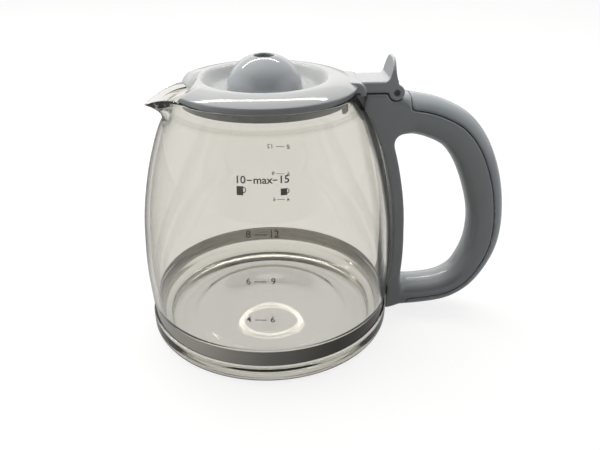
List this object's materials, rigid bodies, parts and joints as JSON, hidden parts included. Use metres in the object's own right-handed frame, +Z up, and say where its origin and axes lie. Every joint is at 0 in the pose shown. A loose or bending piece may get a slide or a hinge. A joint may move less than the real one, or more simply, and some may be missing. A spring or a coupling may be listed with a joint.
{
  "type": "glass coffee jug",
  "caption": "Round glass jug with a pouring spout, a steel foot band, a hollow loop handle and a hinged domed lid with a thumb lever.",
  "frame": {"origin": "centre of the glass foot, in the plane of the ring that the jug stands on", "axes": "+Z up along the axis of the glass, +X towards the handle, spout towards -X"},
  "size_m": [0.1998, 0.1364, 0.1499],
  "materials": {
    "clear_glass": "clear, smooth",
    "band_steel": "bright rolled steel",
    "fastener_steel": "plated steel",
    "grey_plastic": "satin gloss",
    "cover_plastic": "satin gloss",
    "pin_plastic": "satin gloss",
    "lid_plastic": "gloss",
    "liner_plastic": "satin"
  },
  "bodies": {
    "jug": {"glass_jug": "clear_glass", "base_band": "band_steel", "band_clamp_plate": "fastener_steel", "band_screw": "fastener_steel", "handle_body": "grey_plastic", "handle_cover": "cover_plastic", "cover_screw": "fastener_steel", "hinge_pin": "pin_plastic"},
    "lid": {"lid_plate": "lid_plastic", "lid_dome": "lid_plastic", "lid_liner": "liner_plastic", "lid_arm": "grey_plastic"}
  },
  "joints": [
    {"name": "lid_hinge", "type": "hinge", "parent": "jug", "child": "lid", "pos_m": [0.0651, 0, 0.1322], "axis": [0, 1, 0], "range_deg": [0, 85]}
  ]
}
